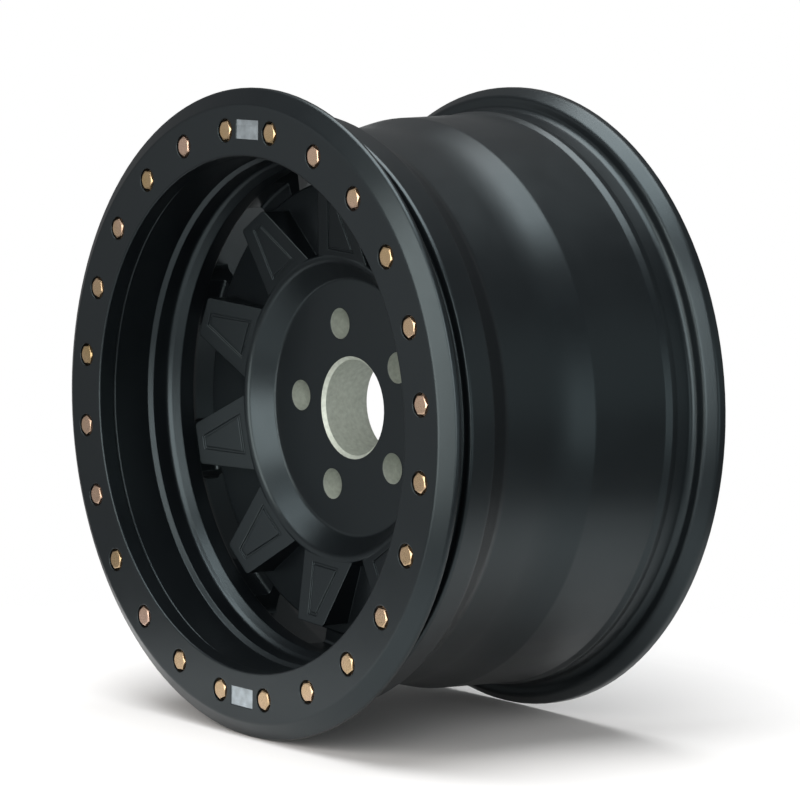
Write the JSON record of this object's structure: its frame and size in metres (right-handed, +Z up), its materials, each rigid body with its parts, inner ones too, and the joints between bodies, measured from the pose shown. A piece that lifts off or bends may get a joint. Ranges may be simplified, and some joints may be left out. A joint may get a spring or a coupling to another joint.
{
  "type": "beadlock wheel",
  "caption": "Deep-dish cast car wheel with a spoked centre and a bolted ring that clamps the outer tyre bead.",
  "frame": {"origin": "on the wheel's axis, in the plane of the hub's mounting face", "axes": "+Y along the axis towards the vehicle, so the outer face looks along -Y; +Z up through the top milled pad"},
  "size_m": [0.4749, 0.2585, 0.475],
  "materials": {
    "cast_wheel": "satin black powder coat on cast aluminium, bare metal in the bore and the lug seats",
    "ring": "satin black powder coat, two bare milled pads",
    "washers": "yellow zinc plate",
    "bolts": "yellow zinc plate"
  },
  "bodies": {
    "root": {"wheel": "cast_wheel", "beadlock_ring": "ring", "ring_washers": "washers", "ring_bolts": "bolts"}
  },
  "joints": []
}
